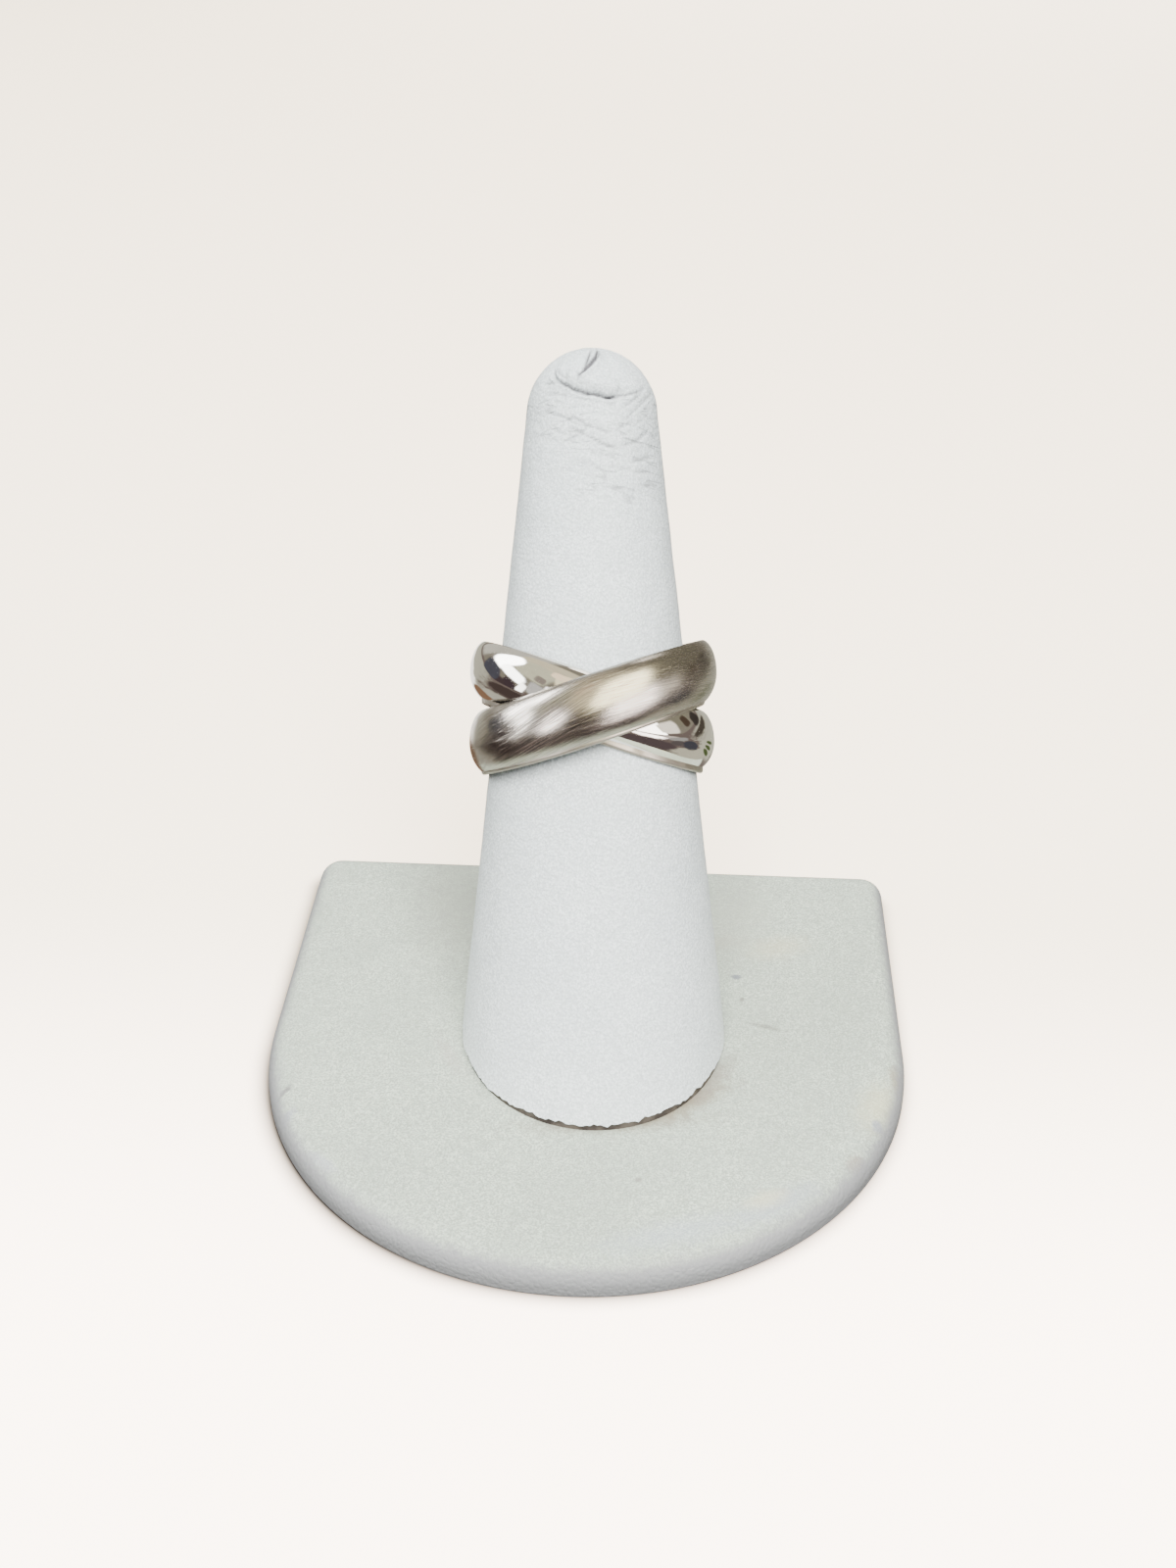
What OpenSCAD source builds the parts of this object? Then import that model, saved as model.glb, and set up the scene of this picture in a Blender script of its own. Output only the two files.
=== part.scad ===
/* [Base plate] */
// Width of the plate across its straight back edge
base_w = 57; // [48:0.5:70]
// Depth of the round front, from the widest line to the front edge
base_front = 29.4; // [28.6:0.1:36]
// Depth of the square part, from the widest line to the back edge
base_back = 27.5; // [18:0.1:34]
// Thickness of the plate
base_t = 3; // [2.5:0.1:5]
// Rounding of the plate's upper edge
base_edge_r = 2; // [0.5:0.1:2]
// Radius of the two back corners
base_corner_r = 2.2; // [2.2:0.1:6]

/* [Finger] */
// Length along the finger's axis, from the plate to the top of the tip
finger_l = 60.4; // [56:0.2:75]
// Radius of the foot, square to the finger's axis
finger_foot_r = 11.8; // [11.4:0.1:12]
// Slope of the finger's side against its axis, in degrees
finger_taper = 6.25; // [5.5:0.05:6.5]
// Lean to the back, in degrees from upright
finger_lean = 29; // [15:0.5:35]
// Turn of the lean away from straight back, towards the left, in degrees
finger_turn = 4.1; // [-5:0.1:5]
// Foot's centre to the right of the plate's middle line
finger_foot_x = 0.5; // [-2:0.1:2]
// Foot's centre behind the plate's widest line
finger_foot_y = 1; // [-6:0.1:3]

/* [Ring] */
// Bore across the sides, where the two bands lie one above the other
ring_bore = 19; // [18.9:0.05:19.6]
// Distance from the foot's centre up the finger to the middle of the ring
ring_up = 28.7; // [28:0.1:34]
// Width of each band
band_w = 5.7; // [4.5:0.05:5.75]
// Thickness of each band at the crown of its dome
band_t = 1.4; // [1.1:0.05:1.5]
// Height of a band's upper edge, where the dome ends
edge_t = 0.22; // [0.2:0.02:0.5]
// Height of the rim along a band's lower edge
rim_t = 0.38; // [0.3:0.02:0.6]
// Width of that rim
rim_w = 0.45; // [0.2:0.05:0.8]
// Rise and fall of a band's middle line at the ring's sides
wave_rise = 3.25; // [3.1:0.05:3.6]
// Extra bend that steepens the crossing and levels the sides
wave_bend = 0.1; // [0:0.05:0.2]

/* [Hidden] */

// Gap between the finger and the band that lies under, at the crossing
fit_gap = 0.13;
// How far a slanting band's lower edge lies below its middle line, as a share of its width
lower_share = 0.52;
// Gap between the two bands where one passes over the other
pass_gap = 0.28;
// Bevel of the plate's lower edge, and slices that shape its upper rounding
foot_edge_r = 0.4;
edge_slices = 6;
// Steps along the plate's corners, its side arcs and its front arc
corner_steps = 6;
side_steps = 8;
front_steps = 32;
// Radius of the plate's front arc, as a share of its half width
front_arc_share = 0.9;
// How sharply a band swells out where it passes over, and draws in where it lies under
over_power = 1;
under_power = 2;
// Stations round a band, and points across its dome
stations = 96;
dome_points = 11;
// Slope at which the dome meets the upper edge and the lower rim, in degrees on a round section
edge_end = 80;
rim_end = 66;
// Round of a band's edges, and rise of its inner wall towards the edges
band_edge = 0.12;
bore_crown = 0.05;
// Overlap that joins the finger's cone to its tip
joint_overlap = 0.01;

// Sizes of the plate's outline: an oval front of three arcs
half_w = base_w / 2;
front_r = half_w * front_arc_share;
front_y = -(base_front - front_r);
side_r = (pow(half_w, 2) + pow(front_y, 2) - pow(front_r, 2)) / (2 * (half_w - front_r));
side_x = side_r - half_w;
// Angle at which a side arc turns into the front arc, and the front arc's step
join_angle = atan2(-front_y, side_x);
front_step = (180 - 2 * join_angle) / (front_steps + 2);

// Sizes of the finger: a cone that ends in a ball that it touches all round
tip_r = (finger_foot_r * cos(finger_taper) - finger_l * sin(finger_taper)) / (1 - sin(finger_taper));
tip_up = finger_l - tip_r;
touch_up = tip_up + tip_r * sin(finger_taper);
finger_axis = [-sin(finger_lean) * sin(finger_turn), sin(finger_lean) * cos(finger_turn), cos(finger_lean)];

// The origin lies under the middle of the whole part's box
back_reach = max(base_back, finger_foot_y + tip_up * finger_axis[1] + tip_r);
middle_y = (back_reach - base_front) / 2;

// Radius of the finger at a distance up its axis
function finger_r(up) = finger_foot_r - tan(finger_taper) * up;

// Inner radius of a band: at the ring's sides, and where it lies under or passes over the other
bore_r = ring_bore / 2;
under_r = finger_r(ring_up - lower_share * band_w) + fit_gap;
over_r = under_r + band_t + pass_gap;

// Inner radius of a band at a turn round the finger, from the place where it passes over
function inner_r(turn) = cos(turn) > 0
    ? bore_r + (over_r - bore_r) * pow(cos(turn), over_power)
    : bore_r + (under_r - bore_r) * pow(-cos(turn), under_power);

// Height and slope of a band's middle line, from the same place
function wave(turn) = wave_rise * sin(turn) + wave_bend * sin(3 * turn);
function wave_slope(turn) = (wave_rise * cos(turn) + 3 * wave_bend * cos(3 * turn)) / (bore_r + band_t / 2);

// Point of a band's dome, from its lower rim at -1 to its upper edge at 1
function dome(share) = let (
        reach = band_w / 2 - (share < 0 ? rim_w : 0),
        foot = share < 0 ? rim_t : edge_t,
        end = share < 0 ? rim_end : edge_end
    ) [reach * sin(share * end) / sin(end), foot + (band_t - foot) * (cos(share * end) - cos(end)) / (1 - cos(end))];

// Outline of a band's section: distance across the band, and height over the inner wall
section = concat(
    [[-band_w / 2 + band_edge, bore_crown], [0, 0], [band_w / 2 - band_edge, bore_crown]],
    [for (i = [0 : dome_points - 1]) dome(1 - 2 * i / (dome_points - 1))],
    [[-band_w / 2 + band_edge, rim_t], [-band_w / 2, rim_t - band_edge], [-band_w / 2, bore_crown + band_edge]]
);

// Points of an arc, from one angle to another, both ends included
function arc(centre, radius, from, to, steps) =
    [for (i = [0 : steps]) let (angle = from + (to - from) * i / steps) centre + radius * [cos(angle), sin(angle)]];

// Outline of the plate, drawn in from its full size, anticlockwise from the right end of its widest line
function plate_outline(inset) = let (
        corner = [half_w - base_corner_r, base_back - base_corner_r],
        corner_r = base_corner_r - inset
    ) concat(
        arc(corner, corner_r, 0, 90, corner_steps),
        arc([-corner[0], corner[1]], corner_r, 90, 180, corner_steps),
        arc([side_x, 0], side_r - inset, 180, 180 + join_angle, side_steps),
        arc([0, front_y], front_r - inset, 180 + join_angle + front_step, 360 - join_angle - front_step, front_steps),
        arc([-side_x, 0], side_r - inset, 360 - join_angle, 360, side_steps)
    );

// Wrapped board that everything stands on: outlines one above another, with a flat face at each end
module base_plate() {
    levels = concat(
        [[0, foot_edge_r], [foot_edge_r, 0]],
        [for (i = [0 : edge_slices]) let (angle = 90 * i / edge_slices)
            [base_t - base_edge_r * (1 - sin(angle)), base_edge_r * (1 - cos(angle))]]
    );
    ring_len = len(plate_outline(0));
    top = len(levels) - 1;
    points = [for (level = levels) for (p = plate_outline(level[1])) [p[0], p[1], level[0]]];
    walls = [for (j = [0 : top - 1]) for (i = [0 : ring_len - 1]) let (next = (i + 1) % ring_len) each [
        [j * ring_len + i, (j + 1) * ring_len + next, j * ring_len + next],
        [j * ring_len + i, (j + 1) * ring_len + i, (j + 1) * ring_len + next]
    ]];
    bottom_face = [for (i = [0 : ring_len - 1]) i];
    top_face = [for (i = [ring_len - 1 : -1 : 0]) top * ring_len + i];
    color("#d6d9d2") translate([0, -middle_y, 0]) polyhedron(points, concat([bottom_face], walls, [top_face]));
}

// Places its children on the finger's axis, at a distance up from the foot
module on_finger(up) {
    translate([finger_foot_x, finger_foot_y - middle_y, base_t])
        rotate([0, 0, finger_turn]) rotate([-finger_lean, 0, 0]) translate([0, 0, up]) children();
}

// Leaning cone with a round tip, cut flat where it stands on the plate
module finger() {
    sunk = finger_foot_r;
    color("#e2e5e3") difference() {
        on_finger(0) rotate_extrude($fn = 96) {
            polygon([[0, -sunk], [finger_r(-sunk), -sunk], [tip_r * cos(finger_taper), touch_up], [0, touch_up]]);
            intersection() {
                translate([0, tip_up]) circle(tip_r, $fn = 96);
                translate([0, touch_up - joint_overlap]) square(tip_r + joint_overlap);
            }
        }
        translate([-base_w, -base_w - middle_y, base_t - base_w]) cube([2 * base_w, 2 * base_w, base_w]);
    }
}

// Closed band round the finger: it passes over the other band at the given turn, and is high a quarter turn on
module band(over_turn) {
    last = len(section);
    points = [for (i = [0 : stations - 1]) let (
            turn = 360 * i / stations,
            wide = sqrt(1 + pow(wave_slope(turn), 2)),
            place = turn + over_turn
        ) for (corner = section) let (r = inner_r(turn) + corner[1])
            [r * sin(place), -r * cos(place), wave(turn) + corner[0] * wide]];
    faces = [for (i = [0 : stations - 1]) for (k = [0 : last - 1]) let (
            next_i = (i + 1) % stations,
            next_k = (k + 1) % last
        ) each [
            [i * last + k, next_i * last + k, next_i * last + next_k],
            [i * last + k, next_i * last + next_k, i * last + next_k]
        ]];
    polyhedron(points, faces);
}

// Band with the brushed finish: over at the front, and high on the right
module brushed_band() {
    color("#b9b4aa") on_finger(ring_up) band(0);
}

// Band with the mirror polish: over at the back, and high on the left
module polished_band() {
    color("#e6e4dc") on_finger(ring_up) band(180);
}

base_plate();
finger();
brushed_band();
polished_band();
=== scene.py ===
"""Dresses a crossover ring of two bands and the leaning finger stand that holds it."""
from __future__ import annotations

import logging
import math
from dataclasses import dataclass
from enum import Enum
from functools import cached_property
from typing import Callable, Iterable, Sequence

import bpy
from mathutils import Matrix, Vector, noise

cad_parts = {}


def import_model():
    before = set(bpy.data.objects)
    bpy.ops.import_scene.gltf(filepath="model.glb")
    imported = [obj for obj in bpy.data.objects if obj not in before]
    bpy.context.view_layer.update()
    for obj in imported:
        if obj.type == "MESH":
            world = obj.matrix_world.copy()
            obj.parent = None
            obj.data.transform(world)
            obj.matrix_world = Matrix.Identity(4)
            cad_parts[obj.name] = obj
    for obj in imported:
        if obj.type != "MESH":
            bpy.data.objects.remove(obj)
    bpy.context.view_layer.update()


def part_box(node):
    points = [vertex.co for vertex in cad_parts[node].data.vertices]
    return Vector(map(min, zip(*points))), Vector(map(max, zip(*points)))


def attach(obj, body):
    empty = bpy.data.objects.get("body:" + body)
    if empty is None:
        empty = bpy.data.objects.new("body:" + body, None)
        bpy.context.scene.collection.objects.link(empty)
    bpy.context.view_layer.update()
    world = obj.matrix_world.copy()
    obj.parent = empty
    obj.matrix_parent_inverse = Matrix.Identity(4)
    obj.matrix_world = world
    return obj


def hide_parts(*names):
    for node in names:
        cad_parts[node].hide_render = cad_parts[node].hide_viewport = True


LOG = logging.getLogger("ring_stand")
MM = 0.001
Colour = tuple[float, float, float]
Pair = tuple[float, float]
Socket = bpy.types.NodeSocket
BLACK = (0.0, 0.0, 0.0)
# Points closer than this are sewn together
WELD = 0.002 * MM
# A height, in millimetres, that only rounding errors reach
HAIR = 0.01


class Brushing(Enum):
    """How a metal surface was finished."""

    NONE = "mirror polish"
    ALONG = "lines along the band"


class Node:
    """Wires the nodes of a material, or of the world, with short calls."""

    def __init__(self, name: str, world: bpy.types.World | None = None) -> None:
        """Starts an empty material with a principled shader, or takes the world's background.

        Args:
            name: the material's name.
            world: the world to wire instead of a material.
        """
        self.material = None if world else bpy.data.materials.new(name)
        owner = world or self.material
        owner.use_nodes = True
        self.tree = owner.node_tree
        self.shader = self.tree.nodes["Background" if world else "Principled BSDF"]

    def add(self, kind: str, **settings: object) -> bpy.types.Node:
        """Adds a node and sets its properties and the sockets that are named.

        Args:
            kind: the node's type.
            settings: properties of the node, or default values of its inputs by name.

        Returns:
            The new node.
        """
        node = self.tree.nodes.new(kind)
        for key, value in settings.items():
            if hasattr(node, key):
                setattr(node, key, value)
            else:
                node.inputs[key.replace("_", " ")].default_value = value
        return node

    def read(self, vector: Socket, kind: str, **settings: object) -> bpy.types.Node:
        """Adds a node that reads a vector.

        Args:
            vector: the vector's socket.
            kind: the node's type.
            settings: what add takes.

        Returns:
            The new node.
        """
        node = self.add(kind, **settings)
        self.link(vector, node.inputs[0])
        return node

    def place(self) -> Socket:
        """Gives the object's own coordinates."""
        return self.add("ShaderNodeTexCoord").outputs["Object"]

    def noise(self, vector: Socket, scale: float, **settings: float) -> Socket:
        """Adds a noise texture of a scale, with its other inputs by name."""
        return self.read(vector, "ShaderNodeTexNoise", Scale=scale, **settings).outputs["Fac"]

    def mapped(self, vector: Socket, **settings: object) -> Socket:
        """Shifts, turns or scales a vector."""
        return self.read(vector, "ShaderNodeMapping", **settings).outputs["Vector"]

    def axes(self, vector: Socket) -> bpy.types.NodeOutputs:
        """Parts a vector into X, Y and Z."""
        return self.read(vector, "ShaderNodeSeparateXYZ").outputs

    def length(self, vector: Socket) -> Socket:
        """Measures a vector."""
        return self.read(vector, "ShaderNodeVectorMath", operation="LENGTH").outputs["Value"]

    def link(self, source: Socket, target: Socket) -> None:
        """Joins two sockets."""
        self.tree.links.new(source, target)

    def feed(self, **sources: Socket) -> None:
        """Joins sockets to those of the shader that are named."""
        for key, source in sources.items():
            self.link(source, self.shader.inputs[key.replace("_", " ")])

    def set(self, **values: object) -> None:
        """Sets the shader's own sockets that are named."""
        for key, value in values.items():
            self.shader.inputs[key.replace("_", " ")].default_value = value

    def math(self, operation: str, first: object, second: object = 0.0) -> Socket:
        """Adds a math node on sockets or numbers.

        Args:
            operation: the node's operation.
            first: a socket or a number.
            second: a socket or a number.

        Returns:
            The result's socket.
        """
        node = self.add("ShaderNodeMath", operation=operation)
        for place, value in enumerate((first, second)):
            if isinstance(value, Socket):
                self.link(value, node.inputs[place])
            else:
                node.inputs[place].default_value = value
        return node.outputs[0]

    def ramp(self, source: Socket, low: float, high: float, out: Pair = (0.0, 1.0)) -> Socket:
        """Maps a range of values to another, smoothly and clamped.

        Args:
            source: the value to map.
            low: value that gives the first output.
            high: value that gives the second output.
            out: the two outputs.

        Returns:
            The mapped value's socket.
        """
        node = self.add("ShaderNodeMapRange", interpolation_type="SMOOTHSTEP")
        self.link(source, node.inputs["Value"])
        node.inputs["From Min"].default_value, node.inputs["From Max"].default_value = low, high
        node.inputs["To Min"].default_value, node.inputs["To Max"].default_value = out
        return node.outputs["Result"]

    def mix(self, share: object, first: object, second: object) -> Socket:
        """Mixes two colours, each a socket or a colour.

        Args:
            share: how much of the second colour, a socket or a number.
            first: the first colour.
            second: the second colour.

        Returns:
            The mixed colour's socket.
        """
        node = self.add("ShaderNodeMix", data_type="RGBA")
        for place, value in ((0, share), (6, first), (7, second)):
            if isinstance(value, Socket):
                self.link(value, node.inputs[place])
            elif place == 0:
                node.inputs[place].default_value = value
            else:
                node.inputs[place].default_value = (*value, 1.0)
        return node.outputs[2]

    def bump(self, height: Socket, strength: float, depth: float, under: Socket | None = None) -> Socket:
        """Adds a bump node.

        Args:
            height: the height's socket.
            strength: the bump's strength.
            depth: the bump's distance in metres.
            under: the normal of a bump below this one.

        Returns:
            The normal's socket.
        """
        node = self.add("ShaderNodeBump", Strength=strength, Distance=depth)
        self.link(height, node.inputs["Height"])
        if under is not None:
            self.link(under, node.inputs["Normal"])
        return node.outputs["Normal"]


@dataclass(frozen=True)
class Mark:
    """A stain, scuff, worn place or painted shadow on a cover: an oval with a ragged edge. Lengths are in
    millimetres.
    """

    place: tuple[float, float, float]
    size: tuple[float, float, float]
    colour: Colour
    share: float
    turn: float = 0.0
    soft: float = 0.5


def dim(colour: Colour, share: float) -> Colour:
    """Gives a share of a colour, or a lighter one above 1."""
    return tuple(c * share for c in colour)


@dataclass(frozen=True)
class LeatherFinish:
    """White grained cover material of the stand, with its own tone, marks and painted shade. Lengths are in
    millimetres.
    """

    name: str
    tone: Colour
    shade: Colour
    grain: float = 0.42
    crease: float = 2.6
    cloud: float = 7.0
    fine: float = 0.16
    blotch: float = 0.8
    relief: float = 0.035
    roughness: float = 0.52
    specular: float = 0.35
    pit_tone: float = 0.62
    pit_share: float = 0.45
    blotch_tone: float = 0.8
    blotch_share: float = 0.38
    wander: float = 1.4
    fold_shade_colour: Colour = (0.06, 0.05, 0.06)
    # Painted shade on the rim: its colour, how much of it, the heights over which it fades, and how ragged its edge
    # is
    rim_shade_colour: Colour = (0.245, 0.24, 0.245)
    rim_shade_share: float = 0.0
    rim_fade: Pair = (2.1, 3.1)
    rim_wander: float = 0.6
    speckle: float = 0.6
    gathers: tuple[Mark, ...] = ()
    wrinkle: tuple[float, float, float] = (5.5, 5.5, 0.75)
    wrinkle_break: float = 1.5
    wrinkle_relief: float = 0.08
    lean: float = 0.0
    marks: tuple[Mark, ...] = ()

    FOLDS = "folds"

    def material(self) -> bpy.types.Material:
        """Wires the cover's colour, grain, creases, marks and painted shade.

        Returns:
            The material.
        """
        n = Node(self.name)
        place = n.place()
        cloud = n.noise(place, 1 / (self.cloud * MM), Detail=4.0)
        pebble = n.read(place, "ShaderNodeTexVoronoi", feature="SMOOTH_F1", Scale=1 / (self.grain * MM),
                        Smoothness=0.6)
        fine = n.noise(place, 1 / (self.fine * MM), Detail=2.0)
        fold = n.noise(place, 1 / (self.crease * MM), Detail=4.0, Distortion=1.2)
        blotch = n.noise(place, 1 / (self.blotch * MM), Detail=4.0)
        crease = n.ramp(n.math("ABSOLUTE", n.math("SUBTRACT", fold, 0.5)), 0.0, 0.03)
        colour = n.mix(n.ramp(cloud, 0.35, 0.7), self.tone, self.shade)
        pits = n.ramp(pebble.outputs["Distance"], 0.25, 0.75)
        pit_colour = dim(self.shade, self.pit_tone)
        colour = n.mix(n.math("MULTIPLY", pits, self.pit_share), colour, pit_colour)
        colour = n.mix(n.ramp(fine, 0.42, 0.58, (self.speckle, 0.0)), colour, pit_colour)
        blotches = n.ramp(blotch, 0.56, 0.68, (0.0, self.blotch_share))
        colour = n.mix(blotches, colour, dim(self.shade, self.blotch_tone))
        uneven = n.math("MULTIPLY", n.math("SUBTRACT", blotch, 0.5), self.wander)
        for mark in self.marks:
            colour = n.mix(self.inside(n, place, uneven, mark), colour, mark.colour)
        # Painted shade: the plate's rim darkens towards the bottom, where less light falls on it
        if self.rim_shade_share:
            height = n.math("ADD", n.axes(place)["Z"], n.math("MULTIPLY", uneven, self.rim_wander * MM))
            painted_rim_shade = n.ramp(height, *(z * MM for z in self.rim_fade), (self.rim_shade_share, 0.0))
            colour = n.mix(painted_rim_shade, colour, self.rim_shade_colour)
        # Painted shade in the finger's creases, read from the folds attribute
        folds = n.add("ShaderNodeAttribute", attribute_name=self.FOLDS)
        colour = n.mix(folds.outputs["Fac"], colour, self.fold_shade_colour)
        relief = n.math("ADD", n.math("MULTIPLY", pits, -1.0), n.math("MULTIPLY", fine, 0.5))
        grain = n.bump(relief, 0.6, self.relief * MM)
        if self.gathers:
            wrinkles = self.wrinkles(n, place, uneven)
            # Painted shade in the wrinkles
            colour = n.mix(n.math("MULTIPLY", wrinkles, 0.7), colour, self.fold_shade_colour)
            grain = n.bump(n.math("SUBTRACT", 1.0, wrinkles), 0.8, self.wrinkle_relief * MM, grain)
        n.feed(Base_Color=colour, Normal=n.bump(crease, 0.35, self.relief * MM, grain))
        n.set(Roughness=self.roughness, Specular_IOR_Level=self.specular)
        return n.material

    def wrinkles(self, n: Node, place: Socket, uneven: Socket) -> Socket:
        """Draws fine broken wrinkles across the finger, where the cover gathers.

        Args:
            n: the material's wiring.
            place: object coordinates.
            uneven: uneven values round zero, which make a gathered area's edge ragged.

        Returns:
            How deep a wrinkle is, from 0 to 1.
        """
        broken = n.ramp(n.noise(place, 1 / (self.wrinkle_break * MM), Detail=1.0), 0.42, 0.56)
        deep = None
        for area in self.gathers:
            turned = n.mapped(place, Rotation=(math.radians(self.lean), math.radians(area.turn), 0))
            squeezed = n.mapped(turned, Scale=[1 / (side * MM) for side in self.wrinkle])
            lines = n.noise(squeezed, 1.0, Detail=0.8)
            line = n.ramp(n.math("ABSOLUTE", n.math("SUBTRACT", lines, 0.5)), 0.006, 0.04, (1.0, 0.0))
            layer = n.math("MULTIPLY", n.math("MULTIPLY", line, broken), self.inside(n, place, uneven, area))
            deep = layer if deep is None else n.math("MAXIMUM", deep, layer)
        return deep

    @staticmethod
    def inside(n: Node, place: Socket, uneven: Socket, mark: Mark) -> Socket:
        """Tells how far a mark covers a place.

        Args:
            n: the material's wiring.
            place: object coordinates.
            uneven: uneven values round zero, which make the mark's edge ragged.
            mark: the mark.

        Returns:
            The mark's share there.
        """
        local = n.mapped(place, vector_type="TEXTURE", Location=Vector(mark.place) * MM,
                         Rotation=(0, 0, math.radians(mark.turn)), Scale=Vector(mark.size) * MM)
        reach = n.math("ADD", n.length(local), uneven)
        return n.ramp(reach, 1 - mark.soft, 1 + mark.soft, (mark.share, 0.0))


@dataclass(frozen=True)
class MetalFinish:
    """White metal of a band.

    A stroke set is its slant in degrees, and a stroke's length and thickness in millimetres. A pair that fades or
    swaps something gives two places along the band, as shares of the way round with the front at about 0.5.
    """

    name: str
    colour: Colour
    roughness: float
    brushing: Brushing = Brushing.NONE
    haze: float = 1.8
    unrolled: Pair = (64.0, 14.0)
    stroke_sets: tuple[tuple[float, float, float], ...] = ((24.0, 3.2, 0.11), (-4.0, 5.0, 0.11), (3.0, 2.0, 0.05))
    scratch: tuple[float, float, float] = (7.0, 9.0, 0.09)
    relief: float = 0.03
    drift: float = 0.12
    swap: Pair = (0.53, 0.59)
    depths: tuple[float, float, float] = (0.90, 0.66, 0.90)
    left_fade: Pair = (0.38, 0.46)
    right_fade: Pair = (0.50, 0.60)
    lobe_start: Pair = (0.40, 0.47)
    lobe_end: Pair = (0.50, 0.56)
    rough_end: Pair = (0.60, 0.72)
    rougher: float = 1.35
    anisotropy: float = 0.25

    def material(self) -> bpy.types.Material:
        """Wires the metal.

        Returns:
            The material.
        """
        n = Node(self.name)
        n.set(Metallic=1.0)
        if self.brushing is Brushing.ALONG:
            self.brush(n)
        else:
            self.polish(n)
        return n.material

    def polish(self, n: Node) -> None:
        """Wires a mirror polish with faint wear.

        Args:
            n: the material's wiring.
        """
        haze = n.noise(n.place(), 1 / (self.haze * MM), Detail=5.0)
        n.feed(Roughness=n.ramp(haze, 0.4, 0.75, (self.roughness, self.roughness * 2.2)),
               Base_Color=n.mix(n.ramp(haze, 0.3, 0.8), self.colour, dim(self.colour, 0.94)))

    def brush(self, n: Node) -> None:
        """Wires lines along the band, from its own UV map, and stretched gloss.

        Args:
            n: the material's wiring.
        """
        uv = n.add("ShaderNodeUVMap", uv_map=Band.UV).outputs["UV"]
        flat = n.mapped(uv, Scale=(*self.unrolled, 1.0))
        slanted, level, short = (self.strokes(n, flat, *stroke) for stroke in self.stroke_sets)
        cloud = n.noise(flat, 0.45, Detail=3.0)
        drift = n.math("ADD", n.axes(uv)["X"], n.math("MULTIPLY", cloud, self.drift))
        swap = n.ramp(drift, *self.swap)
        lines = n.math("ADD", n.math("MULTIPLY", level, swap),
                       n.math("MULTIPLY", slanted, n.math("SUBTRACT", 1.0, swap)))
        lines = n.math("ADD", n.math("MULTIPLY", lines, 0.7), n.math("MULTIPLY", short, 0.3))
        deep = n.ramp(self.strokes(n, flat, *self.scratch), 0.30, 0.38)
        rough = n.ramp(lines, 0.35, 0.65, (self.roughness * 1.25, self.roughness * 0.8))
        tangent = n.add("ShaderNodeTangent", direction_type="UV_MAP", uv_map=Band.UV)
        n.feed(Normal=n.bump(n.math("ADD", lines, n.math("MULTIPLY", deep, 0.4)), 0.45, self.relief * MM),
               Roughness=n.math("MULTIPLY", rough, n.ramp(drift, *self.rough_end, (1.0, self.rougher))),
               Base_Color=n.mix(deep, dim(self.colour, 0.5), self.tone(n, slanted, lines, cloud, drift)),
               Tangent=tangent.outputs["Tangent"])
        n.set(Anisotropic=self.anisotropy, Anisotropic_Rotation=0.25)

    def tone(self, n: Node, slanted: Socket, lines: Socket, cloud: Socket, drift: Socket) -> Socket:
        """Tones the brushed face: darker between the strokes, with cuts, and painted glints where it catches the
        window.

        Args:
            n: the material's wiring.
            slanted: the strokes that run across the left lobe.
            lines: all strokes together.
            cloud: slow uneven values.
            drift: how far along the band a place lies, with an uneven edge.

        Returns:
            The colour.
        """
        calm = n.math("MAXIMUM", n.ramp(drift, *self.left_fade, self.depths[:2]),
                      n.ramp(drift, *self.right_fade, (0, self.depths[2])))
        dark = n.mix(calm, BLACK, self.colour)
        tone = n.mix(n.ramp(lines, 0.40, 0.58), dark, dim(self.colour, 1.2))
        tone = n.mix(n.ramp(cloud, 0.35, 0.65, (0.0, 0.3)), tone, dim(self.colour, 0.72))
        aside = n.math("MAXIMUM", n.ramp(drift, *self.lobe_start, (1.0, 0.0)), n.ramp(drift, *self.lobe_end))
        cut = n.math("MAXIMUM", n.ramp(slanted, 0.35, 0.47), aside)
        tone = n.mix(cut, dim(self.colour, 0.45), tone)
        # Painted glints: brighter strokes in the left lobe, where the window's highlight falls
        painted_glint = n.math("MULTIPLY", n.ramp(slanted, 0.57, 0.68), n.math("SUBTRACT", 0.8, aside))
        return n.mix(n.math("MAXIMUM", painted_glint, 0.0), tone, dim(self.colour, 1.9))

    @staticmethod
    def strokes(n: Node, flat: Socket, slant: float, length: float, thickness: float) -> Socket:
        """Draws one set of brush strokes.

        Args:
            n: the material's wiring.
            flat: the band's unrolled coordinates, in millimetres.
            slant: the strokes' angle to the band, in degrees.
            length: a stroke's length in millimetres.
            thickness: its thickness.

        Returns:
            The strokes' socket, round 0.5.
        """
        turned = n.mapped(flat, Rotation=(0, 0, math.radians(slant)))
        return n.noise(n.mapped(turned, Scale=(1 / length, 1 / thickness, 1.0)), 1.0, Detail=4.0)


def deselect() -> None:
    """Leaves edit mode and deselects everything."""
    if bpy.context.object and bpy.context.object.mode != "OBJECT":
        bpy.ops.object.mode_set(mode="OBJECT")
    bpy.ops.object.select_all(action="DESELECT")


def take(obj: bpy.types.Object) -> None:
    """Makes an object the only one that operators act on.

    Args:
        obj: the object.
    """
    deselect()
    obj.select_set(True)
    bpy.context.view_layer.objects.active = obj


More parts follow.
